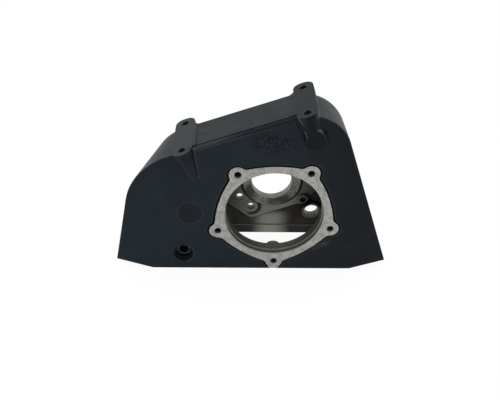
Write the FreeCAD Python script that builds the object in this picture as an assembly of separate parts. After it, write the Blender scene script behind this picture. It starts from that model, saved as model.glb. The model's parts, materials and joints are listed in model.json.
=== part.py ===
import FreeCAD, Part
import math
import os

from FreeCAD import Vector

# Engine front cover: one aluminium casting, open at the bottom.
# Millimetres, +Z up, +X to the right seen from the front, +Y towards the engine.
# The origin is the centre of the machined front ring, on its face and on the shaft axis.

# Overall form
SHAFT_HEIGHT = 85.0          # shaft axis above the flat bottom
COVER_DEPTH = 84.0           # ring face to rear face
LEFT_FOOT_X = -201.0         # left edge, carried down to the bottom plane
LEFT_LEAN = 12.1             # left edge leans to the right going up, degrees
RIGHT_FOOT_X = 149.5         # right edge, carried down to the bottom plane
LEFT_CORNER_R = 84.0
LEFT_CORNER_REAR_R = 42.0    # the same corner at the rear face
RIGHT_CORNER_R = 50.0
LEFT_DRAFT = 25.0            # the left side closes in towards the engine, degrees
RIGHT_DRAFT = 2.5
REAR_EDGE_R = 38.0           # big rounding between top, sides and rear face
FRONT_EDGE_R = 1.5
BEVEL_RISE = 14.5            # the bottom rises at both feet
LEFT_BEVEL_RUN = 43.0
RIGHT_BEVEL_RUN = 42.0

# Walls
SIDE_WALL = 8.0
FRONT_WALL = 9.0             # behind the ring face
REAR_WALL = 8.6
WALL_PROUD = 0.4             # front wall ahead of the ring face at the bottom
WALL_LEAN = 0.6              # the front wall leans forward going up, degrees

# Raised middle panel of the front wall
PANEL_PROUD = 2.4            # ahead of the wall at the top edge
PANEL_RUN = 50.0             # fades out this far below the top
PANEL_END_PROUD = 0.2        # what is left of it there
PANEL_GAP = 3.2              # groove between the panel and each column
PANEL_LEFT_SPLAY = 13.0      # its left edge spreads out going down, degrees
PANEL_RIGHT_SPLAY = 5.0
PANEL_EDGE_R = 2.0

# Front ring
RING_BORE_R = 60.5
RING_REGISTER_DEPTH = 6.0
RING_REGISTER_STEP = 1.2     # the bore behind the register is smaller by this
RING_WIDTH = 8.9             # halfway between two lugs
RING_SIDE_R = 145.0          # the outer edge is flatter than a circle between two lugs
RING_BOLT_OUT = 3.6          # bolt circle outside the ring's edge
RING_BOLTS = 5
COLLAR_STEP = 2.4            # the collar behind the ring is smaller by this
COLLAR_DEPTH = 18.5
RING_TURN = 1.7              # bolt pattern turned from the vertical, degrees
RING_LUG_R = 10.6
RING_LUG_BLEND_R = 7.0
RING_HOLE_R = 4.0            # M8
RING_HOLE_DEPTH = 20.0
RING_BOSS_DEPTH = 28.0
BOTTOM_TAB_HALF = 6.5        # half width of the lug's run-out at the bottom edge
GROOVE_WIDTH = 1.3           # narrow groove between the ring and the front wall
GROOVE_SHIFT_X = -0.3        # the cast groove sits off the machined ring's centre
GROOVE_SHIFT_Z = 0.9
GROOVE_DEPTH = 4.0           # below the ring face
LIP_R = 3.0                  # the wall rolls into the groove

# Sloping top pad with four tapped holes
PAD_TILT = 19.63             # rises to the right, degrees
PAD_HEIGHT = 121.3           # pad plane from the shaft axis
PAD_HOLE_LEFT = -72.1        # along the slope, from the shaft axis
PAD_HOLE_SPACING = 148.4
PAD_HOLE_FRONT = 2.0         # behind the ring face
PAD_HOLE_STEP = 62.9         # front row to rear row
PAD_HOLE_R = 5.0             # M10
PAD_HOLE_DEPTH = 22.0
PAD_STEP = 1.2               # pad above the cast top
PAD_BODY = 8.0               # reaches this far into the casting
PAD_FRONT = 4.5
PAD_REAR = 54.5
PAD_BAND = 17.0              # the seat bands reach this far in from the holes
PAD_RECESS = 0.6             # middle of the pad below the seat bands
PAD_FRONT_BLEND_R = 2.0
PAD_REAR_BLEND_R = 6.0
LUG_R = 12.3
REAR_LUG_R = 10.8
LEFT_COLUMN_LENGTH = 38.0
LEFT_COLUMN_END_R = 7.0
LEFT_COLUMN_TIP = 5.0        # closes in to a point over this length
LEFT_COLUMN_TIP_R = 3.0
RIGHT_COLUMN_LENGTH = 33.0
RIGHT_COLUMN_END_R = 10.4
REAR_COLUMN_LENGTH = 30.0
REAR_COLUMN_END_R = 9.6
COLUMN_INSET = 0.3           # the columns start this far inside the pad's rounded ends
COLUMN_BOSS_R = 12.2
COLUMN_BOSS_PROUD = 8.5
COLUMN_BOSS_EDGE = 1.5

# Rear wall
REAR_BORE_R = 26.4
REAR_FACE_R = 37.7
REAR_FACE_PROUD = 2.5
REAR_RIM_HEIGHT = 13.0       # thicker rim along the bottom of the rear wall
REAR_RIM_PROUD = 1.3
PLATEAU_PROUD = 1.3
PLATEAU_CORNERS = [          # x, z, rounding
    (-62.0, -35.0, 4.0),
    (-27.0, -61.5, 8.0),
    (52.0, -30.0, 6.0),
    (52.5, -21.5, 4.0),
    (66.0, -8.0, 6.0),
    (66.0, 40.0, 15.0),
    (-62.0, 40.0, 15.0),
]
REAR_BOSSES = [              # x, z, boss radius, proud, hole radius, hole depth
    (-26.6, -40.4, 10.0, 1.8, 5.0, 30.0),
    (42.2, -27.6, 7.5, 4.0, 4.2, 6.0),
    (55.0, -46.0, 13.0, 4.0, 9.7, 30.0),
]
REAR_SLOT_X = -41.8          # oblong hole to the left of the bosses
REAR_SLOT_Z = -25.5
REAR_SLOT_WIDTH = 9.0
REAR_SLOT_HEIGHT = 11.2

# Threaded port at the lower left
PORT_X = -112.3
PORT_Z = -60.0
PORT_RIM_R = 12.5
PORT_RIM_DEPTH = 1.5
PORT_THREAD_R = 11.0         # M22
PORT_THREAD_DEPTH = 8.0
PORT_HOLE_R = 6.0
PORT_HOLE_DEPTH = 14.0
PORT_BOSS_R = 16.0
PORT_BOSS_DEPTH = 17.0

# Plain round disc on the left of the front wall
DISC_X = -102.0
DISC_Z = 3.0
DISC_R = 15.5
DISC_PROUD = 0.8
DISC_EDGE = 0.6

# Shared by all cutters
OVERSHOOT = 15.0             # how far a cutter reaches past what it cuts
FRONT_CLEAR = 60.0           # the same ahead of the front wall
HOLE_CHAMFER = 0.4
DRILL_TIP = 118.0            # degrees
DRILL_TIP_R = 0.6

BOTTOM_Z = -SHAFT_HEIGHT
RING_OUTER_R = RING_BORE_R + RING_WIDTH
RING_BOLT_R = RING_OUTER_R + RING_BOLT_OUT
REAR_INSIDE = COVER_DEPTH - REAR_WALL
REARWARD = Vector(0, 1, 0)
TILT = math.radians(PAD_TILT)
ALONG_PAD = Vector(math.cos(TILT), 0, math.sin(TILT))
OUT_OF_PAD = Vector(-math.sin(TILT), 0, math.cos(TILT))
INTO_PAD = OUT_OF_PAD * -1


# Small helpers

def pad_point(along, y, height):
    """A point given along the slope and away from the shaft axis."""
    point = ALONG_PAD * along + OUT_OF_PAD * height
    point.y = y
    return point


def line_crossing(point_a, way_a, point_b, way_b):
    """Where two lines in a plane of constant Y meet."""
    gap = point_b - point_a
    turn = way_a.x * way_b.z - way_a.z * way_b.x
    reach = (gap.x * way_b.z - gap.z * way_b.x) / turn
    return point_a + way_a * reach


def rounded_corner(before, corner, after, radius):
    """The two tangent points and the middle of the arc that rounds a corner."""
    back = (before - corner).normalize()
    ahead = (after - corner).normalize()
    half = back.getAngle(ahead) / 2
    reach = radius / math.tan(half)
    middle_way = (back + ahead).normalize()
    centre = corner + middle_way * (radius / math.sin(half))
    return corner + back * reach, centre - middle_way * radius, corner + ahead * reach


def rounded_wire(corners):
    """A closed wire through (point, radius) corners; a radius of 0 stays sharp."""
    edges = []
    tangents = []
    count = len(corners)
    for i in range(count):
        point, radius = corners[i]
        if radius == 0:
            tangents.append((point, None, point))
            continue
        before = corners[i - 1][0]
        after = corners[(i + 1) % count][0]
        tangents.append(rounded_corner(before, point, after, radius))
    for i in range(count):
        start, middle, end = tangents[i]
        if middle is not None:
            edges.append(Part.Arc(start, middle, end).toShape())
        next_start = tangents[(i + 1) % count][0]
        if end.distanceToPoint(next_start) > 0.001:
            edges.append(Part.makeLine(end, next_start))
    return Part.Wire(edges)


def prism(corners, way):
    """A solid made by moving a rounded outline."""
    return Part.Face(rounded_wire(corners)).extrude(way)


def rod(radius, length, base, way):
    return Part.makeCylinder(radius, length, base, way)


def drilled_hole(radius, depth, mouth, way):
    """A blind hole with a chamfered mouth and a drill's point."""
    start = mouth - way * OVERSHOOT
    hole = rod(radius, depth + OVERSHOOT, start, way)
    tip_length = (radius - DRILL_TIP_R) / math.tan(math.radians(DRILL_TIP / 2))
    tip = Part.makeCone(radius, DRILL_TIP_R, tip_length, mouth + way * depth, way)
    wide = radius + HOLE_CHAMFER
    chamfer = Part.makeCone(wide, radius, HOLE_CHAMFER, mouth, way)
    return hole.fuse([tip, chamfer])


# The tapered body and its cavity share one outline

def side_lines(inset, y):
    """Left, top and right lines of the cover's outline at a depth, moved inwards."""
    lean = math.radians(LEFT_LEAN)
    left_way = Vector(math.sin(lean), 0, math.cos(lean))
    left_in = Vector(math.cos(lean), 0, -math.sin(lean))
    left_shift = inset + y * math.tan(math.radians(LEFT_DRAFT))
    right_shift = inset + y * math.tan(math.radians(RIGHT_DRAFT))
    left = Vector(LEFT_FOOT_X, 0, BOTTOM_Z) + left_in * left_shift
    right = Vector(RIGHT_FOOT_X, 0, BOTTOM_Z) - ALONG_PAD * right_shift
    top = pad_point(0, 0, PAD_HEIGHT - PAD_STEP - inset)
    return (left, left_way), (top, ALONG_PAD), (right, OUT_OF_PAD)


def outline(inset, y, floor_z):
    left, top, right = side_lines(inset, y)
    floor = (Vector(0, 0, floor_z), Vector(1, 0, 0))
    bottom_left = line_crossing(*floor, *left)
    bottom_right = line_crossing(*floor, *right)
    top_right = line_crossing(*right, *top)
    top_left = line_crossing(*top, *left)
    corners = [
        (bottom_left, 0),
        (bottom_right, 0),
        (top_right, RIGHT_CORNER_R - inset),
        (top_left, left_corner_radius(y) - inset),
    ]
    wire = rounded_wire(corners)
    wire.translate(Vector(0, y, 0))
    return wire


def left_corner_radius(y):
    """The upper left corner gets tighter towards the rear."""
    return LEFT_CORNER_R + (LEFT_CORNER_REAR_R - LEFT_CORNER_R) * y / COVER_DEPTH


def edges_on_plane(shape, y, lowest_z):
    """Edges that lie on a plane of constant Y, without the one on the floor."""
    found = []
    for edge in shape.Edges:
        box = edge.BoundBox
        if abs(box.YMin - y) < 0.01 and abs(box.YMax - y) < 0.01 and box.ZMax > lowest_z + 0.01:
            found.append(edge)
    return found


def side_face(front_edge, rear_edge):
    """The face between two matching edges: flat between lines, ruled between arcs."""
    if front_edge.Curve.TypeId != "Part::GeomLine":
        return Part.makeRuledSurface(front_edge, rear_edge)
    front_start, front_end = [vertex.Point for vertex in front_edge.Vertexes]
    rear_start, rear_end = [vertex.Point for vertex in rear_edge.Vertexes]
    corners = [front_start, front_end, rear_end, rear_start, front_start]
    return Part.Face(Part.makePolygon(corners))


def tapered_block(inset, front_y, rear_y, floor_z):
    front = outline(inset, front_y, floor_z)
    rear = outline(inset, rear_y, floor_z)
    faces = [Part.Face(front), Part.Face(rear)]
    for front_edge, rear_edge in zip(front.Edges, rear.Edges):
        faces.append(side_face(front_edge, rear_edge))
    shell = Part.makeShell(faces)
    shell.sewShape()
    block = Part.makeSolid(shell)
    return block.makeFillet(REAR_EDGE_R - inset, edges_on_plane(block, rear_y, floor_z))


def foot_bevel(foot_x, lean_way, run):
    """Cutter for the rising bottom at one foot; run is towards the middle."""
    corner_x = foot_x + lean_way * BEVEL_RISE
    slope = Vector(-run, 0, BEVEL_RISE)
    start = Vector(corner_x + run, -OVERSHOOT, BOTTOM_Z)
    end = start + slope + slope.normalize() * OVERSHOOT
    below_end = Vector(end.x, -OVERSHOOT, BOTTOM_Z - OVERSHOOT)
    below_start = Vector(start.x, -OVERSHOOT, BOTTOM_Z - OVERSHOOT)
    corners = [(start, 0), (end, 0), (below_end, 0), (below_start, 0)]
    return prism(corners, Vector(0, COVER_DEPTH + 2 * OVERSHOOT, 0))


def wall_y(z):
    """Y of the leaning front wall at a height."""
    return -WALL_PROUD - (z - BOTTOM_Z) * math.tan(math.radians(WALL_LEAN))


def front_trim():
    """Everything ahead of the leaning front wall."""
    low = BOTTOM_Z - OVERSHOOT
    high = 2 * PAD_HEIGHT
    half_width = 2 * SHAFT_HEIGHT + PAD_HEIGHT
    ahead = -FRONT_CLEAR
    corners = [
        (Vector(-half_width, wall_y(low), low), 0),
        (Vector(-half_width, wall_y(high), high), 0),
        (Vector(-half_width, ahead, high), 0),
        (Vector(-half_width, ahead, low), 0),
    ]
    return prism(corners, Vector(2 * half_width, 0, 0))


def front_wall_edges(shape):
    """Outer edges of the front wall, without its bottom edge."""
    found = []
    for edge in shape.Edges:
        ends = [vertex.Point for vertex in edge.Vertexes]
        points = ends + [edge.valueAt((edge.FirstParameter + edge.LastParameter) / 2)]
        on_wall = all(abs(p.y - wall_y(p.z)) < 0.02 for p in points)
        flat = all(abs(p.z - BOTTOM_Z) < 0.02 for p in points)
        if on_wall and not flat:
            found.append(edge)
    return found


def outer_body():
    """The outer form without the ring; its front wall rolls into the groove round the ring."""
    body = tapered_block(0, -OVERSHOOT, COVER_DEPTH, BOTTOM_Z)
    body = body.cut(front_trim())
    left_way = math.tan(math.radians(LEFT_LEAN))
    right_way = -math.tan(TILT)
    body = body.cut(foot_bevel(LEFT_FOOT_X, left_way, LEFT_BEVEL_RUN))
    body = body.cut(foot_bevel(RIGHT_FOOT_X, right_way, -RIGHT_BEVEL_RUN))
    body = body.makeFillet(FRONT_EDGE_R, front_wall_edges(body))
    return body.cut(groove_cutter(front_trim(), GROOVE_DEPTH))


def cavity():
    """The inside, open at the bottom, with a thicker rim low on the rear wall."""
    low = BOTTOM_Z - OVERSHOOT
    inside = tapered_block(SIDE_WALL, FRONT_WALL, REAR_INSIDE, low)
    corner = Vector(LEFT_FOOT_X, REAR_INSIDE - REAR_RIM_PROUD, low)
    rim = Part.makeBox(RIGHT_FOOT_X - LEFT_FOOT_X, REAR_WALL, OVERSHOOT + REAR_RIM_HEIGHT, corner)
    return inside.cut(rim)


# Front wall details

def pad_hole_points():
    """Mouths of the four tapped holes: front left, front right, rear left, rear right."""
    points = []
    for row in range(2):
        for column in range(2):
            along = PAD_HOLE_LEFT + column * PAD_HOLE_SPACING
            y = PAD_HOLE_FRONT + row * PAD_HOLE_STEP
            points.append(pad_point(along, y, PAD_HEIGHT))
    return points


def panel_face_point(along, below):
    """A point on the plane of the panel's face, given below the casting's top."""
    point = pad_point(along, 0, PAD_HEIGHT - PAD_STEP - below)
    fade = (PANEL_PROUD - PANEL_END_PROUD) * below / PANEL_RUN
    point.y = wall_y(point.z) - PANEL_PROUD + fade
    return point


def panel_section(along, splay):
    """Wedge section of the middle panel at one end; the splay moves its foot outwards."""
    low_along = along + PANEL_RUN * math.tan(math.radians(splay))
    top = panel_face_point(along, 0)
    low = panel_face_point(low_along, PANEL_RUN)
    deep = FRONT_WALL / 2
    deep_low = Vector(low.x, deep, low.z)
    deep_top = Vector(top.x, deep, top.z)
    return Part.makePolygon([top, low, deep_low, deep_top, top])


def middle_panel():
    """The panel between the columns: proud at its top, flush further down."""
    left = PAD_HOLE_LEFT + LUG_R + PANEL_GAP
    right = PAD_HOLE_LEFT + PAD_HOLE_SPACING - LUG_R - PANEL_GAP
    left_end = panel_section(left, -PANEL_LEFT_SPLAY)
    right_end = panel_section(right, PANEL_RIGHT_SPLAY)
    panel = Part.makeLoft([left_end, right_end], True, True)
    rims = [edge for edge in panel.Edges if is_panel_rim(edge)]
    panel = panel.makeFillet(PANEL_EDGE_R, rims)
    return panel.cut(groove_cutter(panel_trim(), FRONT_WALL + GROOVE_DEPTH))


def panel_trim():
    """Everything ahead of the panel's face."""
    far = 2 * PAD_HEIGHT
    ends = []
    for along in (-far, far):
        high = panel_face_point(along, -far)
        low = panel_face_point(along, far)
        ahead_low = Vector(low.x, -FRONT_CLEAR, low.z)
        ahead_high = Vector(high.x, -FRONT_CLEAR, high.z)
        ends.append(Part.makePolygon([high, low, ahead_low, ahead_high, high]))
    return Part.makeLoft(ends, True, True)


def is_panel_rim(edge):
    """The top edge of the panel's face."""
    ahead = wall_y(edge.CenterOfMass.z) - PANEL_PROUD
    return edge.BoundBox.XLength > 2 * LUG_R and abs(edge.CenterOfMass.y - ahead) < 0.1


def columns():
    """Bosses that run down from the four pad holes, square to the pad."""
    lengths = [LEFT_COLUMN_LENGTH, RIGHT_COLUMN_LENGTH, REAR_COLUMN_LENGTH, REAR_COLUMN_LENGTH]
    end_radii = [LEFT_COLUMN_END_R, RIGHT_COLUMN_END_R, REAR_COLUMN_END_R, REAR_COLUMN_END_R]
    lug_radii = [LUG_R, LUG_R, REAR_LUG_R, REAR_LUG_R]
    solids = []
    for mouth, lug_r, length, end_r in zip(pad_hole_points(), lug_radii, lengths, end_radii):
        solids.append(Part.makeCone(lug_r - COLUMN_INSET, end_r, length, mouth, INTO_PAD))
    foot = pad_hole_points()[0] + INTO_PAD * LEFT_COLUMN_LENGTH
    tip = Part.makeCone(LEFT_COLUMN_END_R, LEFT_COLUMN_TIP_R, LEFT_COLUMN_TIP, foot, INTO_PAD)
    return [solids[0].fuse(tip)] + solids[1:]


def front_disc(radius, bevel, x, z, proud):
    """A round disc on the front wall with a bevelled rim, flat and square to the shaft."""
    base = Vector(x, FRONT_WALL / 2, z)
    disc = rod(radius, FRONT_WALL / 2 + proud, base, REARWARD * -1)
    rim = [e for e in disc.Edges if e.BoundBox.YLength < 0.01 and e.CenterOfMass.y < 0]
    return disc.makeChamfer(bevel, rim)


def column_boss():
    foot = pad_hole_points()[1] + INTO_PAD * RIGHT_COLUMN_LENGTH
    return front_disc(COLUMN_BOSS_R, COLUMN_BOSS_EDGE, foot.x, foot.z, COLUMN_BOSS_PROUD)


def plain_disc():
    return front_disc(DISC_R, DISC_EDGE, DISC_X, DISC_Z, DISC_PROUD - wall_y(DISC_Z))


# Sloping top pad

def pad_outline(first, last, front, rear, radius):
    corners = []
    for along, y in ((first, front), (last, front), (last, rear), (first, rear)):
        corners.append((pad_point(along, y, PAD_HEIGHT), radius))
    return corners


def top_pad():
    """Two machined seat bands with rounded ends and the lower middle between them."""
    left = PAD_HOLE_LEFT
    right = PAD_HOLE_LEFT + PAD_HOLE_SPACING
    front = PAD_HOLE_FRONT - LUG_R
    rear = PAD_HOLE_FRONT + PAD_HOLE_STEP + REAR_LUG_R
    depth = INTO_PAD * PAD_BODY
    pad = prism(pad_outline(left, right, PAD_FRONT, PAD_REAR, 0), depth)
    for hole in (left, right):
        band = pad_outline(hole - LUG_R, hole + LUG_R, front, rear, 0)
        radii = (LUG_R, LUG_R, REAR_LUG_R, REAR_LUG_R)
        band = [(point, radius) for (point, none), radius in zip(band, radii)]
        pad = pad.fuse(prism(band, depth))
    pad = pad.removeSplitter()
    pad = pad.makeFillet(PAD_FRONT_BLEND_R, inner_corners(pad, PAD_FRONT))
    pad = pad.makeFillet(PAD_REAR_BLEND_R, inner_corners(pad, PAD_REAR))
    lowered = pad_outline(left + PAD_BAND, right - PAD_BAND, front, rear, 0)
    return pad.cut(prism(lowered, INTO_PAD * PAD_RECESS))


def inner_corners(pad, y):
    """Upright edges where the two bands meet one long side of the middle."""
    found = []
    for edge in pad.Edges:
        centre = edge.CenterOfMass
        upright = edge.BoundBox.YLength < 0.01 and abs(edge.Length - PAD_BODY) < 0.01
        if upright and abs(centre.y - y) < 0.01:
            found.append(edge)
    return found


# Front ring

def ring_hole_points(y):
    points = []
    for i in range(RING_BOLTS):
        angle = math.radians(270 + RING_TURN + i * 360 / RING_BOLTS)
        points.append(Vector(RING_BOLT_R * math.cos(angle), y, RING_BOLT_R * math.sin(angle)))
    return points


def ring_sides(front_y, length, grow):
    """Five-sided disc; each side is an arc that bulges between two lugs."""
    side_r = RING_SIDE_R + grow
    offset = side_r - RING_OUTER_R - grow
    half_turn = math.pi / RING_BOLTS
    across = offset * math.sin(half_turn)
    corner_r = math.sqrt(side_r ** 2 - across ** 2) - offset * math.cos(half_turn)
    edges = []
    for point in ring_hole_points(front_y):
        angle = math.atan2(point.z, point.x)
        start = Vector(corner_r * math.cos(angle), front_y, corner_r * math.sin(angle))
        middle_angle = angle + half_turn
        middle_r = RING_OUTER_R + grow
        middle = Vector(middle_r * math.cos(middle_angle), front_y, middle_r * math.sin(middle_angle))
        end_angle = middle_angle + half_turn
        end = Vector(corner_r * math.cos(end_angle), front_y, corner_r * math.sin(end_angle))
        edges.append(Part.Arc(start, middle, end).toShape())
    return Part.Face(Part.Wire(edges)).extrude(REARWARD * length)


def ring_profile(front_y, rear_y, grow):
    """The ring's outline with its five lugs as a solid, made larger all round."""
    length = rear_y - front_y
    lug_r = RING_LUG_R + grow
    sides = ring_sides(front_y, length, grow)
    holes = ring_hole_points(front_y)
    solid = sides.fuse([rod(lug_r, length, point, REARWARD) for point in holes])
    solid = solid.removeSplitter()
    joints = []
    for edge in solid.Edges:
        centre = edge.CenterOfMass
        upright = edge.Curve.TypeId == "Part::GeomLine" and edge.BoundBox.YLength > length - 0.01
        if upright and sides.distToShape(Part.Vertex(centre))[0] < 0.001:
            joints.append(edge)
    return solid.makeFillet(RING_LUG_BLEND_R - grow, joints)


def bottom_tab():
    """Carries the bottom lug down to the bottom plane."""
    corner = Vector(ring_hole_points(0)[0].x - BOTTOM_TAB_HALF, 0, BOTTOM_Z)
    height = SHAFT_HEIGHT - RING_OUTER_R
    return Part.makeBox(2 * BOTTOM_TAB_HALF, FRONT_WALL, height, corner)


def groove_cutter(trim, floor_y):
    """What is ahead of a wall and in the groove round the ring, with the lip between them."""
    pocket = ring_profile(-FRONT_CLEAR, floor_y, GROOVE_WIDTH)
    pocket.translate(Vector(GROOVE_SHIFT_X, 0, GROOVE_SHIFT_Z))
    cutter = trim.fuse(pocket).removeSplitter()
    wall = trim.Shells[0]
    brink = []
    for edge in cutter.Edges:
        span = edge.LastParameter - edge.FirstParameter
        points = [edge.valueAt(edge.FirstParameter + span * step / 4) for step in range(5)]
        near_ring = all(math.hypot(p.x, p.z) < RING_BOLT_R + 2 * OVERSHOOT for p in points)
        on_wall = all(wall.distToShape(Part.Vertex(p))[0] < 0.001 for p in points)
        if near_ring and on_wall:
            brink.append(edge)
    return cutter.makeFillet(LIP_R, brink)


def ring_collar():
    """Thick collar behind the ring, with a boss behind each bolt hole."""
    collar = rod(RING_OUTER_R - COLLAR_STEP, COLLAR_DEPTH, Vector(0, 0, 0), REARWARD)
    solids = [collar]
    for point in ring_hole_points(0):
        solids.append(rod(RING_LUG_R, RING_BOSS_DEPTH, point, REARWARD))
    return solids


def ring_cutters():
    """Register, bore and bolt holes of the front ring."""
    start = Vector(0, -FRONT_CLEAR, 0)
    register = rod(RING_BORE_R, FRONT_CLEAR + RING_REGISTER_DEPTH, start, REARWARD)
    bore_r = RING_BORE_R - RING_REGISTER_STEP
    bore = rod(bore_r, RING_BOSS_DEPTH + OVERSHOOT, Vector(0, 0, 0), REARWARD)
    cutters = [register, bore]
    for point in ring_hole_points(0):
        cutters.append(drilled_hole(RING_HOLE_R, RING_HOLE_DEPTH, point, REARWARD))
    return cutters


# Rear wall

def rear_plateau():
    """Raised area round the rear bore; its lower edge passes the fixing holes."""
    points = []
    for x, z, radius in PLATEAU_CORNERS:
        points.append((Vector(x, REAR_INSIDE + 1, z), radius))
    return prism(points, Vector(0, -PLATEAU_PROUD - 1, 0))


def rear_bosses():
    face = rod(REAR_FACE_R, REAR_FACE_PROUD + 1, Vector(0, REAR_INSIDE - REAR_FACE_PROUD, 0), REARWARD)
    solids = [face, rear_plateau()]
    for x, z, radius, proud, hole_r, deep in REAR_BOSSES:
        start = Vector(x, REAR_INSIDE - proud, z)
        solids.append(rod(radius, proud + 1, start, REARWARD))
    return solids


def rear_cutters():
    length = REAR_WALL + 2 * OVERSHOOT
    cutters = [rod(REAR_BORE_R, length, Vector(0, REAR_INSIDE - OVERSHOOT, 0), REARWARD)]
    for x, z, radius, proud, hole_r, deep in REAR_BOSSES:
        start = Vector(x, REAR_INSIDE - proud - 1, z)
        cutters.append(rod(hole_r, deep + 1, start, REARWARD))
    half_w = REAR_SLOT_WIDTH / 2
    half_h = REAR_SLOT_HEIGHT / 2
    slot = []
    for side_x, side_z in ((-half_w, -half_h), (half_w, -half_h), (half_w, half_h), (-half_w, half_h)):
        point = Vector(REAR_SLOT_X + side_x, REAR_INSIDE - OVERSHOOT, REAR_SLOT_Z + side_z)
        slot.append((point, half_w))
    cutters.append(prism(slot, Vector(0, length, 0)))
    return cutters


# Threaded port

def port_boss():
    return rod(PORT_BOSS_R, PORT_BOSS_DEPTH, Vector(PORT_X, 0, PORT_Z), REARWARD)


def port_cutters():
    mouth = Vector(PORT_X, wall_y(PORT_Z), PORT_Z)
    start = mouth - REARWARD * OVERSHOOT
    rim = rod(PORT_RIM_R, OVERSHOOT + PORT_RIM_DEPTH, start, REARWARD)
    thread = rod(PORT_THREAD_R, OVERSHOOT + PORT_THREAD_DEPTH, start, REARWARD)
    inner = rod(PORT_HOLE_R, OVERSHOOT + PORT_HOLE_DEPTH, start, REARWARD)
    return [rim, thread, inner]


# The whole casting

def casting():
    ring = ring_profile(0, FRONT_WALL, 0)
    front_details = [middle_panel(), column_boss(), plain_disc(), top_pad(), ring, bottom_tab()]
    block = outer_body().fuse(front_details + columns())
    hollow = block.cut(cavity())
    inner = columns()[2:] + ring_collar() + rear_bosses() + [port_boss()]
    full = hollow.fuse(inner)
    cutters = ring_cutters() + rear_cutters() + port_cutters()
    for mouth in pad_hole_points():
        cutters.append(drilled_hole(PAD_HOLE_R, PAD_HOLE_DEPTH, mouth, INTO_PAD))
    return full.cut(cutters)


def write(name, shape):
    shape.exportStep(os.path.join("parts", name + ".step"))


os.makedirs("parts", exist_ok=True)
cover = casting()
write("front_cover_casting", cover)
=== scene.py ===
import json
import math

import bpy
from mathutils import Matrix, Vector


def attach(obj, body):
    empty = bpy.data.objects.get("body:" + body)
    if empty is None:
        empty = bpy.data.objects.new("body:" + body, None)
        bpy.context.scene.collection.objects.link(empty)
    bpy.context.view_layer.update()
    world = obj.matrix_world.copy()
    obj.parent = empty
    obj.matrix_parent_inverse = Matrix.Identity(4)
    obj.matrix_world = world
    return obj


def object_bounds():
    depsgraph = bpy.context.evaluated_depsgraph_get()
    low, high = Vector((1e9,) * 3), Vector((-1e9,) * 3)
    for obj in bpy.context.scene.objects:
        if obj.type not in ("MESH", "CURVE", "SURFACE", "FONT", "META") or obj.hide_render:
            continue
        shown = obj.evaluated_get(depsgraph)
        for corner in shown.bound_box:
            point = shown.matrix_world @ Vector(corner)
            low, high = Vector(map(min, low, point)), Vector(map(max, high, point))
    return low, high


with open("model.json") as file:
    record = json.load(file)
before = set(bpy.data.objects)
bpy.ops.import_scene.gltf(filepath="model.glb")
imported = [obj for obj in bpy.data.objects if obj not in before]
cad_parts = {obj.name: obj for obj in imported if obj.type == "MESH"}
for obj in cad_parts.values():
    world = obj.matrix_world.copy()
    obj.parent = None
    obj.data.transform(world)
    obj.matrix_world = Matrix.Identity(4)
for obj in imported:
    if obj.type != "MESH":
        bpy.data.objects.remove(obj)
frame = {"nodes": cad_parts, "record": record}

# Engine front cover. Metres, +Z up, +X to the right, +Y towards the engine.
# The origin is the centre of the machined front ring, on its face.

CAD_LOW, CAD_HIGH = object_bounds()
COVER = frame["nodes"]["front_cover_casting"]
MOUNTS = {mount["name"]: mount for mount in frame["record"]["mounts"]}
MM = 0.001

# Camera, fitted to the ring, the bolt circle and the flat bottom edge
CAMERA_PLACE = Vector((-0.04645, -0.63192, 0.47337))
CAMERA_AZIMUTH = 1.511       # degrees to the right of +Y
CAMERA_ELEVATION = 35.508    # degrees down
CAMERA_ROLL = 1.322
CAMERA_LENS = 46.79          # mm
CAMERA_SENSOR = 36           # mm


def mount_size(name, size):
    """A size that the record states for a mount, in metres."""
    return MOUNTS[name]["dims"][size] * MM


def mount_place(name):
    return Vector(MOUNTS[name]["pos_m"])


# Sizes of the casting that the materials and the threads follow
BOTTOM = CAD_LOW.z
REAR_FACE = CAD_HIGH.y
PLANE_LIMIT = 0.2 * MM       # what is this near to a plane lies in it
RING_BOLTS = MOUNTS["ring_bolts"]["dims"]["count"]
RING_BOLT_R = mount_size("ring_bolts", "pcd_mm") / 2
RING_TURN = math.radians(1.7)
RING_HOLE_R = mount_size("ring_bolts", "hole_r_mm")
RING_HOLE_DEPTH = 20 * MM
FRONT_BORE_R = mount_size("ring_register", "r_mm") + 1 * MM   # the bore's wall is inside this
FRONT_BORE_END = 30 * MM
NEAR_RING_R = 90 * MM        # the groove and its lip are inside this circle
REGISTER_END = mount_size("ring_register", "length_mm")
FRONT_SKIN = 8.8 * MM        # the inside of the casting starts behind this
REAR_INSIDE = 75.4 * MM
REAR_BORE_R = mount_size("rear_bore", "r_mm")
REAR_RING_R = 37.7 * MM
REAR_RING_PLANE = 72.9 * MM
REAR_RIM_TOP = -72 * MM
REAR_BOSSES = [              # x, z, boss radius and hole radius in mm
    (-26.6, -40.4, 10.0, 5.0), (42.2, -27.6, 7.5, 4.2), (55.0, -46.0, 13.0, 9.7)]
SLOT_PLACE = (-41.8 * MM, -25.5 * MM)
SLOT_WIDTH = 9.0 * MM
SLOT_HEIGHT = 11.2 * MM
PLATEAU = [                  # x, z in mm of its lower edge, from left to right
    (-62.0, -35.0), (-30.5, -58.8), (-22.0, -59.4), (47.0, -32.0), (52.5, -24.0), (66.0, -8.0)]
PAD_TILT = math.radians(19.63)
PAD_HEIGHT = 121.3 * MM
PAD_FRONT = 4.5 * MM
CAST_TOP = 120.1 * MM
PAD_HOLES_ALONG = (-72.1 * MM, 76.3 * MM)
PAD_HOLES_Y = (mount_place("pad_hole_front_left").y, mount_place("pad_hole_rear_left").y)
PAD_HOLE_R = mount_size("pad_hole_front_left", "r_mm")
PAD_HOLE_DEPTH = mount_size("pad_hole_front_left", "length_mm")
LEFT_FOOT = (-201 * MM, BOTTOM)
LEFT_LEAN = math.radians(12.1)
LEFT_DRAFT = math.radians(25)
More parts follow.
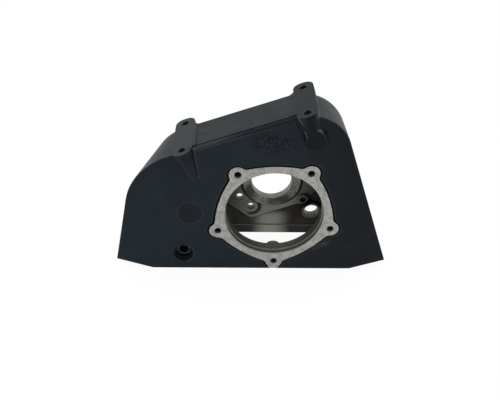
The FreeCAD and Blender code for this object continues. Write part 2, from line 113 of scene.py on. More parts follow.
LEFT_CORNER_R = 84 * MM
LEFT_CORNER_REAR_R = 42 * MM
RIGHT_FOOT = (149.5 * MM, BOTTOM)
RIGHT_DRAFT = math.radians(2.5)
RIGHT_CORNER_R = 50 * MM
REAR_EDGE_R = 38 * MM
HALF_WALL = 4 * MM
BOSS_PLACE = (42.2 * MM, 108.8 * MM)
BOSS_R = 12.2 * MM
PORT_PLACE = (mount_place("port_thread").x, mount_place("port_thread").z)
PORT_RIM_R = 12.5 * MM
PORT_RIM_DEPTH = 1.5 * MM
PORT_THREAD_R = mount_size("port_thread", "r_mm")
PORT_THREAD_DEPTH = 8 * MM
PORT_WALL_Y = -0.66 * MM
WALL_FOOT = 0.4 * MM         # the front wall ahead of the ring's face at the bottom
WALL_SLOPE = math.tan(math.radians(0.6))
DISC_PLACE = (-102 * MM, 3 * MM)
DISC_R = 15.5 * MM
ON_REAR_WALL = 70 * MM       # the rear wall's inner side lies behind this

# Directions
ALONG_PAD = (math.cos(PAD_TILT), 0, math.sin(PAD_TILT))
OUT_OF_PAD = (-math.sin(PAD_TILT), 0, math.cos(PAD_TILT))
LEFT_IN = (math.cos(LEFT_LEAN), 0, -math.sin(LEFT_LEAN))
LEFT_UP = (math.sin(LEFT_LEAN), 0, math.cos(LEFT_LEAN))

# Marks and painted light on the paint. A line is its two ends as x, z and half its width, all in
# mm.
FRONT_LIMIT = 1.5 * MM       # the front wall lies ahead of this
# a painted highlight on the panel's rounded left edge, partly worn paint
PANEL_EDGE = ((-94.2, 94.0), (-89.7, 54.0), 0.9)
PANEL_SHADES = [
    ((-99.2, 92.0), (-93.0, 58.0), 2.0), ((-100.6, 88.0), (-98.0, 74.0), 2.4)]
SCRATCHES = [
    ((112.0, -37.0), (125.0, -27.0), 0.9), ((90.0, -50.0), (101.0, -43.0), 0.7)]
# painted highlights on the lit upper edges of the boss and its column
GLINTS = [
    ((29.2, 118.5), (31.4, 113.5), 0.9), ((20.4, 136.1), (26.3, 127.1), 0.8),
    ((43.5, 122.2), (49.0, 119.5), 1.0)]
PATCH_PLACE = (-5 * MM, 102 * MM)
PATCH_HALF = (31 * MM, 15 * MM)
PATCH_FALL = 0.12            # it drops this much towards the right
# a painted highlight to the lower right of the ring
HALO_PLACE = (60 * MM, -46 * MM)
HALO_RISE = 0.55
NICK_ALONG = 3.9 * MM
NICK_Y = 26.6 * MM
PORT_ARCS_R = (7.0 * MM, 9.3 * MM)   # painted highlights on the port's floor

# Colours, as linear values
PAINT = (0.0088, 0.0152, 0.0212)
PAINT_PAD = (0.0084, 0.0112, 0.0125)
PAINT_SEAT = (0.0034, 0.0056, 0.0064)  # the pad's right seat
PAINT_DARK = (0.0032, 0.0054, 0.0082)
# light paint for wear, and for painted highlights on edges
WEAR_AND_HIGHLIGHT = (0.065, 0.07, 0.075)
LIP_HIGHLIGHT = (0.040, 0.038, 0.040)         # painted highlight on the ring's lip and to the ring's lower right
# painted highlights: glints on the boss's upper edges and an arc in the port
GLINT = (0.12, 0.13, 0.13)
# painted shade in the groove round the ring
GROOVE_SHADE = (0.0008, 0.001, 0.0014)
# the port's dark paint with painted shade
PORT_PAINT_AND_SHADE = (0.0010, 0.0020, 0.0036)
MACHINED = (0.44, 0.44, 0.42)
MACHINED_DARK = (0.17, 0.17, 0.16)
BARE_DARK = (0.022, 0.0205, 0.0185)
BARE_CAST = (0.10, 0.096, 0.088)
# light bare metal, also used for painted light on the inside
BARE_LIGHT = (0.42, 0.415, 0.38)
BORE = (0.135, 0.13, 0.12)
REGISTER = (0.095, 0.092, 0.085)
TAPPED = (0.07, 0.068, 0.064)          # the first turns of a tapped hole
# painted shade deeper in a tapped hole
TAPPED_SHADE = (0.0018, 0.0017, 0.0016)
# painted shade on the rear wall
REAR_WALL_SHADE = (0.006, 0.0055, 0.005)
FLOOR_WHITE = (0.92, 0.92, 0.92)
PAINT_GLOSS = 0.12                     # specular level
CAST_BUMP = 0.12 * MM
FINE_BUMP = 0.03 * MM


def scaled(color, factor):
    return tuple(c * factor for c in color)


def flat_dot(first, second):
    return sum(a * b for a, b in zip(first, second))


# Node helpers

class Shader:
    """Short calls for building one material's node tree."""

    def __init__(self, name):
        self.material = bpy.data.materials.new(name)
        self.material.use_nodes = True
        self.tree = self.material.node_tree
        self.tree.nodes.clear()
        self.place = self.node("ShaderNodeNewGeometry").outputs["Position"]
        self.normal = self.node("ShaderNodeNewGeometry").outputs["Normal"]
        self.x, self.y, self.z = self.split(self.place)
        self.along = self.dot(self.place, ALONG_PAD)
        self.height = self.dot(self.place, OUT_OF_PAD)

    def node(self, kind, **settings):
        made = self.tree.nodes.new(kind)
        for name, value in settings.items():
            setattr(made, name, value)
        return made

    def put(self, socket, value):
        """Links a socket to another one, or sets its value."""
        if isinstance(value, bpy.types.NodeSocket):
            self.tree.links.new(value, socket)
        elif socket.type == "RGBA":
            socket.default_value = (*value, 1.0)
        else:
            socket.default_value = value

    def split(self, vector):
        parts = self.node("ShaderNodeSeparateXYZ")
        self.put(parts.inputs[0], vector)
        return parts.outputs[0], parts.outputs[1], parts.outputs[2]

    def join(self, x, y, z):
        parts = self.node("ShaderNodeCombineXYZ")
        for socket, value in zip(parts.inputs, (x, y, z)):
            self.put(socket, value)
        return parts.outputs[0]

    def math(self, operation, first, second=0.0, third=0.0):
        made = self.node("ShaderNodeMath", operation=operation)
        for socket, value in zip(made.inputs, (first, second, third)):
            self.put(socket, value)
        return made.outputs[0]

    def plus(self, first, second):
        return self.math("ADD", first, second)

    def minus(self, first, second):
        return self.math("SUBTRACT", first, second)

    def times(self, first, second):
        return self.math("MULTIPLY", first, second)

    def size(self, value):
        return self.math("ABSOLUTE", value)

    def larger(self, first, second):
        return self.math("MAXIMUM", first, second)

    def smaller(self, first, second):
        return self.math("MINIMUM", first, second)

    def below(self, value, limit):
        return self.math("LESS_THAN", value, limit)

    def above(self, value, limit):
        return self.math("GREATER_THAN", value, limit)

    def near(self, value, centre, reach):
        return self.math("COMPARE", value, centre, reach)

    def length(self, across, up):
        squares = self.plus(self.times(across, across), self.times(up, up))
        return self.math("SQRT", squares)

    def dot(self, vector, direction):
        made = self.node("ShaderNodeVectorMath", operation="DOT_PRODUCT")
        self.put(made.inputs[0], vector)
        self.put(made.inputs[1], direction)
        return made.outputs["Value"]

    def ramp(self, value, low, high):
        """0 below low, 1 above high, smooth between; low may be above high."""
        made = self.node("ShaderNodeMapRange", interpolation_type="SMOOTHSTEP")
        flip = low > high
        self.put(made.inputs["Value"], value)
        self.put(made.inputs["From Min"], min(low, high))
        self.put(made.inputs["From Max"], max(low, high))
        self.put(made.inputs["To Min"], 1.0 if flip else 0.0)
        self.put(made.inputs["To Max"], 0.0 if flip else 1.0)
        return made.outputs["Result"]

    def all(self, *masks):
        result = masks[0]
        for mask in masks[1:]:
            result = self.times(result, mask)
        return result

    def any(self, *masks):
        result = masks[0]
        for mask in masks[1:]:
            result = self.larger(result, mask)
        return result

    def noise(self, size, detail=3.0, roughness=0.5, at=None, stretch=(1, 1, 1)):
        """Noise whose blobs are about size metres across, from 0 to 1."""
        mapping = self.node("ShaderNodeMapping")
        self.put(mapping.inputs["Vector"], at if at is not None else self.place)
        mapping.inputs["Scale"].default_value = [s / size for s in stretch]
        made = self.node("ShaderNodeTexNoise")
        self.put(made.inputs["Vector"], mapping.outputs[0])
        made.inputs["Scale"].default_value = 1.0
        made.inputs["Detail"].default_value = detail
        made.inputs["Roughness"].default_value = roughness
        return made.outputs["Fac"]

    def mix(self, amount, first, second):
        made = self.node("ShaderNodeMix", data_type="RGBA")
        self.put(made.inputs["Factor"], amount)
        self.put(made.inputs[6], first)
        self.put(made.inputs[7], second)
        return made.outputs[2]

    def mix_value(self, amount, first, second):
        made = self.node("ShaderNodeMix", data_type="FLOAT")
        self.put(made.inputs["Factor"], amount)
        self.put(made.inputs[2], first)
        self.put(made.inputs[3], second)
        return made.outputs[0]

    def bump(self, height, distance, before=None):
        made = self.node("ShaderNodeBump")
        made.inputs["Strength"].default_value = 1.0
        made.inputs["Distance"].default_value = distance
        self.put(made.inputs["Height"], height)
        if before is not None:
            self.put(made.inputs["Normal"], before)
        return made.outputs[0]

    def distance_xz(self, x, z):
        return self.length(self.minus(self.x, x), self.minus(self.z, z))

    def inside_circle(self, place, radius, soft=0.3 * MM):
        """1 inside a circle in the front wall's plane, 0 outside it."""
        return self.ramp(self.distance_xz(*place), radius + soft, radius - soft)

    def line(self, start, end, half_width):
        """1 on a straight line between two places in the front wall's plane, all in mm."""
        start = (start[0] * MM, 0, start[1] * MM)
        end = (end[0] * MM, 0, end[1] * MM)
        half_width = half_width * MM
        way = (end[0] - start[0], 0, end[2] - start[2])
        length = math.hypot(way[0], way[2])
        way = (way[0] / length, 0, way[2] / length)
        across = (way[2], 0, -way[0])
        reach = self.minus(self.dot(self.place, way), flat_dot(start, way))
        past = self.larger(self.minus(reach, length), self.minus(0, reach))
        side = self.size(self.minus(self.dot(self.place, across), flat_dot(start, across)))
        far = self.larger(side, past)
        return self.ramp(far, half_width * 1.4, half_width * 0.6)

    def lines(self, marks):
        return self.any(*[self.line(*mark) for mark in marks])

    def finish(self, **inputs):
        shader = self.node("ShaderNodeBsdfPrincipled")
        for name, value in inputs.items():
            self.put(shader.inputs[name.replace("_", " ")], value)
        output = self.node("ShaderNodeOutputMaterial")
        self.tree.links.new(shader.outputs[0], output.inputs[0])
        return self.material


# Where the casting is painted, machined or bare

def rounded_depth(s, plain, centre_along, centre_height, radius, second_way):
    """Replaces the distance from the sides by the distance from a round corner's arc."""
    along = s.minus(s.along, centre_along)
    height = s.minus(s.height, centre_height)
    way_along = flat_dot(second_way, ALONG_PAD)
    way_height = flat_dot(second_way, OUT_OF_PAD)
    past_second = s.plus(s.times(along, way_along), s.times(height, way_height))
    outwards = -1 if way_along > 0 else 1
    past_top = s.times(along, outwards)
    zone = s.all(s.above(past_second, 0), s.above(past_top, 0))
    return s.mix_value(zone, plain, s.minus(radius, s.length(along, height)))


def depth_from_outside(s):
    """How far a point is inside the casting's outline, seen from the front."""
    left_foot = (LEFT_FOOT[0], 0, LEFT_FOOT[1])
    right_foot = (RIGHT_FOOT[0], 0, RIGHT_FOOT[1])
    left_shift = s.times(s.y, math.tan(LEFT_DRAFT))
    right_shift = s.times(s.y, math.tan(RIGHT_DRAFT))
    left = s.minus(s.dot(s.place, LEFT_IN), flat_dot(left_foot, LEFT_IN))
    left = s.minus(left, left_shift)
    right = s.minus(flat_dot(right_foot, ALONG_PAD), s.along)
    right = s.minus(right, right_shift)
    top = s.minus(CAST_TOP, s.height)
    depth = s.smaller(s.smaller(left, right), top)

    tighter = (LEFT_CORNER_REAR_R - LEFT_CORNER_R) / REAR_FACE
    left_r = s.plus(s.times(s.y, tighter), LEFT_CORNER_R)
    left_height = s.minus(CAST_TOP, left_r)
    left_along = s.plus(s.plus(left_r, left_shift), flat_dot(left_foot, LEFT_IN))
    sloped = s.times(left_height, flat_dot(LEFT_IN, OUT_OF_PAD))
    left_along = s.math("DIVIDE", s.minus(left_along, sloped), flat_dot(LEFT_IN, ALONG_PAD))
    depth = rounded_depth(s, depth, left_along, left_height, left_r, LEFT_UP)
    right_along = s.minus(flat_dot(right_foot, ALONG_PAD) - RIGHT_CORNER_R, right_shift)
    return rounded_depth(s, depth, right_along, CAST_TOP - RIGHT_CORNER_R, RIGHT_CORNER_R,
                         OUT_OF_PAD)


def front_bore_mask(s):
    """1 on the wall of the large bore behind the ring."""
    return s.all(s.below(s.distance_xz(0, 0), FRONT_BORE_R), s.below(s.y, FRONT_BORE_END))


def inside_mask(s):
    """1 on the walls of the hollow and of the large front bore."""
    depth = depth_from_outside(s)
    short = s.larger(s.minus(REAR_EDGE_R, depth), 0)
    sink = s.minus(REAR_EDGE_R ** 2, s.times(short, short))
    outer_y = s.plus(s.math("SQRT", s.larger(sink, 0)), REAR_FACE - REAR_EDGE_R)
    from_rear = s.minus(outer_y, s.y)
    hollow = s.all(s.above(depth, HALF_WALL), s.above(from_rear, HALF_WALL),
                   s.above(s.y, FRONT_SKIN))
    return s.any(hollow, front_bore_mask(s))


def ring_hole_mask(s):
    """1 on the walls of the ring's five tapped holes."""
    step = 2 * math.pi / RING_BOLTS
    turn = s.minus(s.math("ARCTAN2", s.z, s.x), 1.5 * math.pi + RING_TURN)
    turn = s.math("WRAP", turn, step / 2, -step / 2)
    outwards = s.minus(s.distance_xz(0, 0), RING_BOLT_R)
    from_axis = s.length(outwards, s.times(turn, RING_BOLT_R))
    return s.all(s.below(from_axis, RING_HOLE_R + 0.6 * MM),
                 s.above(s.y, 0.05 * MM), s.below(s.y, FRONT_BORE_END))


def pad_hole_mask(s):
    """1 on the walls of the pad's four tapped holes."""
    middle_along = sum(PAD_HOLES_ALONG) / 2
    middle_y = sum(PAD_HOLES_Y) / 2
    across = s.minus(s.size(s.minus(s.along, middle_along)), PAD_HOLES_ALONG[1] - middle_along)
    deep = s.minus(s.size(s.minus(s.y, middle_y)), PAD_HOLES_Y[1] - middle_y)
    return s.all(s.below(s.length(across, deep), PAD_HOLE_R + 0.3 * MM),
                 s.below(s.height, PAD_HEIGHT - 0.05 * MM),
                 s.above(s.height, PAD_HEIGHT - PAD_HOLE_DEPTH - 4 * MM))


def rear_hole_mask(s):
    """1 on the walls of the rear wall's bore, slot, fixing holes and blind hole."""
    holes = [s.below(s.distance_xz(x * MM, z * MM), (hole_r + 0.25) * MM)
             for x, z, boss_r, hole_r in REAR_BOSSES]
    holes.append(s.below(s.distance_xz(0, 0), REAR_BORE_R + 0.3 * MM))
    past_end = s.minus(s.size(s.minus(s.z, SLOT_PLACE[1])), (SLOT_HEIGHT - SLOT_WIDTH) / 2)
    beside = s.minus(s.x, SLOT_PLACE[0])
    from_slot = s.length(s.larger(past_end, 0), beside)
    holes.append(s.below(from_slot, SLOT_WIDTH / 2 + 0.25 * MM))
    return s.all(s.any(*holes), s.above(s.y, ON_REAR_WALL - 1 * MM))


def on_front(s):
    return s.below(s.y, FRONT_LIMIT)


# The paint. Each function lays its colours over the paint that it is given.

def plain_paint(s, cast, blotch):
    """Slightly uneven paint, darker to the right, with streaks along the sides."""
    paint = s.mix(s.ramp(blotch, 0.35, 0.7), PAINT, scaled(PAINT, 1.25))
    paint = s.mix(s.ramp(cast, 0.55, 0.75), paint, scaled(PAINT, 1.35))
    to_right = s.ramp(s.x, 0, 110 * MM)
    paint = s.mix(s.times(to_right, 0.85), paint, PAINT_DARK)
    on_side = s.all(s.ramp(s.y, 3 * MM, 7 * MM), s.below(s.height, CAST_TOP + 0.2 * MM))
    streak = s.noise(8 * MM, detail=4, roughness=0.7, stretch=(1, 0.4, 1))
    side = s.mix(s.ramp(streak, 0.45, 0.65), scaled(PAINT_PAD, 1.1), scaled(PAINT_PAD, 1.6))
    return s.mix(on_side, paint, side)


def shade_strip(s, paint):
    """Painted shade on the flat, upward strip of casting between the front wall's top edge and
    the pad.
    """
    strip = s.all(s.below(s.y, PAD_FRONT - 0.1 * MM), s.above(s.along, -60 * MM),
                  s.ramp(s.along, 66 * MM, 60 * MM))
    strip = s.all(strip, s.ramp(s.height, CAST_TOP - 1.2 * MM, CAST_TOP - 0.9 * MM))
    return s.mix(strip, paint, PAINT_DARK)


def add_ring_groove(s, paint):
    """Painted shade in the groove round the ring, and a painted highlight on the lip beside it.
    """
    off_wall = s.plus(s.y, s.times(s.minus(s.z, BOTTOM), WALL_SLOPE))
    off_wall = s.plus(off_wall, WALL_FOOT)
    near_ring = s.below(s.distance_xz(0, 0), NEAR_RING_R)
    lip = s.all(s.ramp(off_wall, 0.02 * MM, 0.15 * MM), s.ramp(off_wall, 0.7 * MM, 0.4 * MM))
    paint = s.mix(s.times(s.all(lip, near_ring), 0.55), paint, LIP_HIGHLIGHT)
    groove = s.all(near_ring, s.ramp(off_wall, 0.7 * MM, 1.3 * MM), s.below(s.y, 6 * MM))
    return s.mix(s.times(groove, 0.9), paint, GROOVE_SHADE)


def add_halo(s, paint, cast):
    """A painted highlight to the lower right of the ring."""
    across = s.minus(s.x, HALO_PLACE[0])
    off_line = s.minus(s.minus(s.z, HALO_PLACE[1]), s.times(across, HALO_RISE))
    halo = s.all(s.ramp(s.size(off_line), 6 * MM, 1 * MM),
                  s.ramp(s.size(across), 17 * MM, 4 * MM), on_front(s), s.ramp(cast, 0.3, 0.6))
    return s.mix(halo, paint, LIP_HIGHLIGHT)


def darken_disc_and_columns(s, paint):
    disc = s.all(s.inside_circle(DISC_PLACE, DISC_R), on_front(s))
    paint = s.mix(s.times(disc, 0.4), paint, PAINT_DARK)
    right_column = s.all(s.ramp(s.y, -3.4 * MM, -4.6 * MM), s.ramp(s.x, 26 * MM, 34 * MM))
    paint = s.mix(right_column, paint, scaled(PAINT_DARK, 0.8))
    left_column = s.all(s.ramp(s.y, -1.6 * MM, -2.4 * MM), s.ramp(s.x, -96 * MM, -99 * MM))
    return s.mix(s.times(left_column, 0.3), paint, PAINT_DARK)


def add_pad(s, paint):
    """The pad: stains and streaks, a nick, a lighter left seat and a darker right one."""
    pad = s.all(s.above(s.height, CAST_TOP + 0.3 * MM), s.above(s.dot(s.normal, OUT_OF_PAD), 0.9))
    stain = s.noise(11 * MM, detail=4, roughness=0.65, stretch=(0.5, 1.0, 1.0))
    color = s.mix(s.ramp(stain, 0.4, 0.65), PAINT_PAD, scaled(PAINT_PAD, 0.45))
    on_pad = s.join(s.along, s.y, 0)
    streak = s.noise(3 * MM, detail=3, roughness=0.7, at=on_pad, stretch=(0.2, 1, 1))
    color = s.mix(s.times(s.ramp(streak, 0.52, 0.7), 0.6), color, scaled(PAINT_PAD, 1.8))
    nick = s.all(s.near(s.along, NICK_ALONG, 1.3 * MM), s.near(s.y, NICK_Y, 0.9 * MM))
    color = s.mix(nick, color, PAINT_DARK)
    left_seat = s.ramp(s.along, -54 * MM, -64 * MM)
    color = s.mix(left_seat, color, scaled(PAINT_PAD, 1.55))
    right_seat = s.ramp(s.along, 55 * MM, 66 * MM)
    color = s.mix(s.times(right_seat, 0.8), color, PAINT_SEAT)
    return s.mix(pad, paint, color)


def add_rough_patch(s, paint, blotch):
    """The coarse oval patch between the pad and the ring."""
    across = s.math("DIVIDE", s.minus(s.x, PATCH_PLACE[0]), PATCH_HALF[0])
    up = s.minus(s.plus(s.z, s.times(s.x, PATCH_FALL)), PATCH_PLACE[1])
    up = s.math("DIVIDE", up, PATCH_HALF[1])
    far = s.plus(s.length(across, up), s.times(blotch, 0.4))
    patch = s.all(s.ramp(far, 1.4, 0.8), on_front(s))
    grain = s.noise(2.6 * MM, detail=3, roughness=0.7)
    dark_grain = s.all(patch, s.ramp(grain, 0.46, 0.54))
    paint = s.mix(s.times(dark_grain, 0.85), paint, PAINT_DARK)
    light_grain = s.all(patch, s.ramp(grain, 0.44, 0.36))
    return s.mix(s.times(light_grain, 0.3), paint, WEAR_AND_HIGHLIGHT)


def panel_edge(s, cast):
    """The broken light line along the panel's top edge and its left edge: a painted highlight on
    the rounded edges, partly worn paint.
    """
    top = s.all(on_front(s), s.ramp(s.height, CAST_TOP - 2.4 * MM, CAST_TOP - 2.0 * MM),
                s.ramp(s.height, CAST_TOP - 1.0 * MM, CAST_TOP - 1.3 * MM),
                s.ramp(s.along, 50 * MM, -10 * MM), s.above(s.along, -59 * MM))
    left = s.all(s.line(*PANEL_EDGE), s.below(s.y, -1 * MM))
    return s.all(s.any(top, left), s.ramp(cast, 0.35, 0.5))


def port_edge(s):
    """A painted highlight on the right half of the edge round the port."""
    from_port = s.distance_xz(*PORT_PLACE)
    return s.all(s.above(from_port, PORT_RIM_R), on_front(s),
                 s.ramp(from_port, PORT_RIM_R + 1.6 * MM, PORT_RIM_R + 0.6 * MM),
                 s.ramp(s.x, PORT_PLACE[0], PORT_PLACE[0] + 8 * MM))


def disc_edge(s):
    edge = s.size(s.minus(s.distance_xz(*DISC_PLACE), DISC_R))
    return s.all(s.ramp(edge, 1.6 * MM, 0.2 * MM), s.below(s.y, 0))


def add_wear_and_highlights(s, paint, cast, fine):
    """Painted highlights on edges, partly worn paint, scratches where the paint is thin, and
    painted glints.
    """
    scratches = s.all(s.lines(SCRATCHES), s.ramp(cast, 0.45, 0.6), on_front(s))
    # Painted highlights on the panel's edges and beside the port, worn paint, scratches and a
    # light disc edge.
    worn = s.any(panel_edge(s, cast), s.times(scratches, 0.5), s.times(port_edge(s), 0.8),
                 s.times(disc_edge(s), 0.35))
    paint = s.mix(s.times(worn, 0.8), paint, WEAR_AND_HIGHLIGHT)
    glints = s.all(s.lines(GLINTS), s.ramp(fine, 0.3, 0.45), s.below(s.y, -2.2 * MM))
    return s.mix(s.times(glints, 0.6), paint, GLINT)


def add_shade(s, paint):
    """Dark corners to the left of the panel and to the right of the boss."""
    beside_boss = s.minus(s.distance_xz(*BOSS_PLACE), BOSS_R)
    boss_shade = s.all(s.above(beside_boss, -0.1 * MM), s.ramp(beside_boss, 4 * MM, 1 * MM),
                       s.ramp(s.x, BOSS_PLACE[0], BOSS_PLACE[0] + 9 * MM))
    shade = s.all(s.any(s.lines(PANEL_SHADES), boss_shade), s.above(s.y, -3.2 * MM),
                  s.below(s.y, 3 * MM))
    return s.mix(s.times(shade, 0.85), paint, scaled(PAINT_DARK, 0.5))


def painted_color(s, cast, fine, blotch):
    paint = plain_paint(s, cast, blotch)
    paint = shade_strip(s, paint)
    paint = add_ring_groove(s, paint)
    paint = add_halo(s, paint, cast)
    paint = darken_disc_and_columns(s, paint)
    paint = add_pad(s, paint)
    paint = add_rough_patch(s, paint, blotch)
    paint = add_wear_and_highlights(s, paint, cast, fine)
    paint = add_shade(s, paint)
    low_edge = s.all(on_front(s), s.ramp(s.z, BOTTOM + 1.4 * MM, BOTTOM + 0.7 * MM))
    return s.mix(s.times(low_edge, 0.6), paint, WEAR_AND_HIGHLIGHT)


# The bare inside, the bores and the machined faces

def shade_on_rear_wall(s):
    """Painted shade along the raised area's edge, round the ring and beside the bosses."""
    edges = []
    for start, end in zip(PLATEAU, PLATEAU[1:]):
        half_width = 1.7 if start == PLATEAU[0] else 0.9
        edges.append(s.line(start, end, half_width))
    around = s.minus(s.distance_xz(0, 0), REAR_RING_R)
    around = s.minus(around, s.times(s.size(s.x), 0.07))
    edges.append(s.all(s.ramp(around, 1.2 * MM, 0.4 * MM),
                       s.above(s.distance_xz(0, 0), REAR_RING_R)))
    for x, z, boss_r, hole_r in REAR_BOSSES:
        beyond = s.minus(s.distance_xz(x * MM, z * MM), boss_r * MM)
        to_right = s.minus(s.minus(s.x, x * MM), s.times(s.minus(s.z, z * MM), 0.4))
        edges.append(s.all(s.ramp(beyond, 7.0 * MM, 2.0 * MM), s.ramp(to_right, -5 * MM, 5 * MM),
                           s.above(beyond, -0.6 * MM)))
    return s.any(*edges)


def bare_inside(s, cast, blotch):
    """The unpainted inside: dark and stained, with painted light down the middle of the rear
    wall.
    """
    bare = s.mix(s.ramp(blotch, 0.3, 0.7), BARE_DARK, scaled(BARE_DARK, 2.2))
    on_rear = s.above(s.y, ON_REAR_WALL)
    off_middle = s.plus(s.size(s.minus(s.x, 0.5 * MM)), s.times(blotch, 8 * MM))
    middle = s.all(on_rear, s.ramp(off_middle, 34 * MM, 7 * MM),
                   s.ramp(s.z, -45 * MM, -58 * MM))
    bare = s.mix(middle, bare, BARE_LIGHT)
    # Painted light: lighter towards the middle of the raised area.
    plateau = s.all(on_rear, s.below(s.y, REAR_INSIDE - 0.6 * MM), s.above(s.z, REAR_RIM_TOP))
    lit = s.ramp(s.size(s.x), 60 * MM, 10 * MM)
    bare = s.mix(plateau, bare, s.mix(lit, BARE_CAST, scaled(BARE_CAST, 3.7)))
    bare = s.mix(s.all(s.ramp(cast, 0.6, 0.75), on_rear), bare, BARE_CAST)
    # Painted light on the upward ledge at the top of the rim.
    ledge = s.size(s.minus(s.z, REAR_RIM_TOP))
    bare = s.mix(s.all(on_rear, s.ramp(ledge, 0.5 * MM, 0.2 * MM)), bare, BARE_LIGHT)
    lug_back = s.all(s.below(s.y, 34 * MM), s.below(s.z, -58 * MM),
                     s.below(s.size(s.x), 15 * MM))
    bare = s.mix(lug_back, bare, BARE_LIGHT)
    wall_shade = s.all(on_rear, shade_on_rear_wall(s))
    return s.mix(s.times(wall_shade, 0.93), bare, REAR_WALL_SHADE)


def front_bore_color(s, cast):
    """The register in front, a painted highlight on the step at its end, and the duller bore
    behind it.
    """
    bore = s.mix(s.ramp(s.y, REGISTER_END, 18 * MM), BORE, scaled(BORE, 1.4))
    bore = s.mix(s.near(s.y, REGISTER_END + 0.6 * MM, 0.8 * MM), bore, BARE_LIGHT)
    register = s.mix(s.ramp(s.y, 3 * MM, 0.5 * MM), REGISTER, BARE_LIGHT)
    bore = s.mix(s.below(s.y, REGISTER_END - 0.2 * MM), bore, register)
    return s.mix(s.ramp(cast, 0.5, 0.7), bore, REGISTER)


def add_port(s, color):
    """The port: dark paint with painted shade, and two painted highlights as light arcs on its
    floor.
    """
    from_port = s.distance_xz(*PORT_PLACE)
    in_port = s.all(s.below(from_port, PORT_RIM_R + 0.2 * MM),
                    s.above(s.y, PORT_WALL_Y + 0.3 * MM))
    color = s.mix(in_port, color, PORT_PAINT_AND_SHADE)
    on_floor = s.near(s.y, PORT_WALL_Y + PORT_THREAD_DEPTH, 0.4 * MM)
    inner, outer = PORT_ARCS_R
    color = s.mix(s.all(on_floor, s.near(from_port, inner, 0.6 * MM)), color, GLINT)
    return s.mix(s.all(on_floor, s.near(from_port, outer, 0.4 * MM)), color, WEAR_AND_HIGHLIGHT)


def rear_hole_color(s, cast, speck):
    drilled = s.mix(s.ramp(cast, 0.45, 0.6), REGISTER, BARE_DARK)
    turned = s.mix(s.ramp(speck, 0.42, 0.6), MACHINED_DARK, REGISTER)
    central = s.below(s.distance_xz(0, 0), REAR_BORE_R + 1 * MM)
    return s.mix(central, drilled, turned)


def rear_ring_color(s, blotch, speck):
    turned = s.mix(s.ramp(blotch, 0.35, 0.65), BARE_CAST, BARE_LIGHT)
    return s.mix(s.ramp(speck, 0.5, 0.7), turned, BARE_CAST)


def machined_color(s, speck):
    """Milled metal in two tones, with dark specks on the front ring only."""
    worn = s.noise(7 * MM, detail=4, roughness=0.7)
    machined = s.mix(s.ramp(worn, 0.42, 0.62), MACHINED, scaled(MACHINED, 0.72))
    speckled = s.all(s.ramp(speck, 0.52, 0.68), s.below(s.y, 40 * MM))
    return s.mix(speckled, machined, MACHINED_DARK)


def casting_roughness(s, inside, metal_part):
    """Dull on the right of the strip in front of the pad, and nearly even elsewhere."""
    rough = s.mix_value(s.any(inside, metal_part), 0.5, 0.45)
    strip = s.all(s.ramp(s.height, CAST_TOP - 1.1 * MM, CAST_TOP - 0.7 * MM),
                  s.below(s.height, CAST_TOP + 0.2 * MM), s.below(s.y, PAD_FRONT - 0.1 * MM),
                  s.ramp(s.along, -40 * MM, 10 * MM))
    return s.mix_value(strip, rough, 1.0)


def build_casting_material():
    s = Shader("painted_casting")
    fine = s.noise(0.6 * MM, detail=2)
    cast = s.noise(2.2 * MM, detail=4, roughness=0.6)
    blotch = s.noise(26 * MM, detail=3)
    speck = s.noise(1.6 * MM, detail=2)

    facing_front = s.above(s.dot(s.normal, (0, -1, 0)), 0.99)
    on_front_ring = s.all(facing_front, s.below(s.size(s.y), PLANE_LIMIT))
    on_rear_face = s.above(s.y, REAR_FACE - PLANE_LIMIT)
    machined_face = s.any(on_front_ring, on_rear_face)
    on_rear_ring = s.all(s.near(s.y, REAR_RING_PLANE, PLANE_LIMIT),
                         s.below(s.distance_xz(0, 0), REAR_RING_R))
    front_bore = front_bore_mask(s)
    in_rear_hole = rear_hole_mask(s)
    inside = inside_mask(s)
    tapped = s.any(ring_hole_mask(s), pad_hole_mask(s))
    # Painted shade: the tapped holes darken with depth.
    tapped_depth = s.smaller(s.y, s.minus(PAD_HEIGHT, s.height))
    tapped_color = s.mix(s.ramp(tapped_depth, 1 * MM, 4 * MM), TAPPED, TAPPED_SHADE)

    color = s.mix(inside, painted_color(s, cast, fine, blotch), bare_inside(s, cast, blotch))
    color = s.mix(front_bore, color, front_bore_color(s, cast))
    color = s.mix(tapped, color, tapped_color)
    color = add_port(s, color)
    color = s.mix(in_rear_hole, color, rear_hole_color(s, cast, speck))
    color = s.mix(on_rear_ring, color, rear_ring_color(s, blotch, speck))
    color = s.mix(machined_face, color, machined_color(s, speck))

    metal_part = s.any(machined_face, in_rear_hole, front_bore)
    metal = s.mix_value(metal_part, s.times(inside, 0.4), 0.6)
    rough = casting_roughness(s, inside, metal_part)
    normal = s.bump(cast, CAST_BUMP)
    normal = s.bump(fine, FINE_BUMP, normal)
    return s.finish(Base_Color=color, Metallic=metal, Roughness=rough, Normal=normal,
                    Specular_IOR_Level=PAINT_GLOSS)


# Threads

THREAD_STEPS = 28            # flat pieces in one turn
THREAD_CLEAR = 0.02 * MM     # the thread's foot sits this far inside the wall
THREAD_RIDGE = 0.55          # height of the ridge, as a share of the pitch
THREAD_HALF = 0.45           # half of its foot, as a share of the pitch
THREAD_LEAD = 6              # steps over which the ridge rises at each end
THREAD_SHARE = 0.6           # share of a hole's depth that shows turns
RING_PITCH = 1.25 * MM
PAD_PITCH = 1.5 * MM
PORT_PITCH = 1.5 * MM


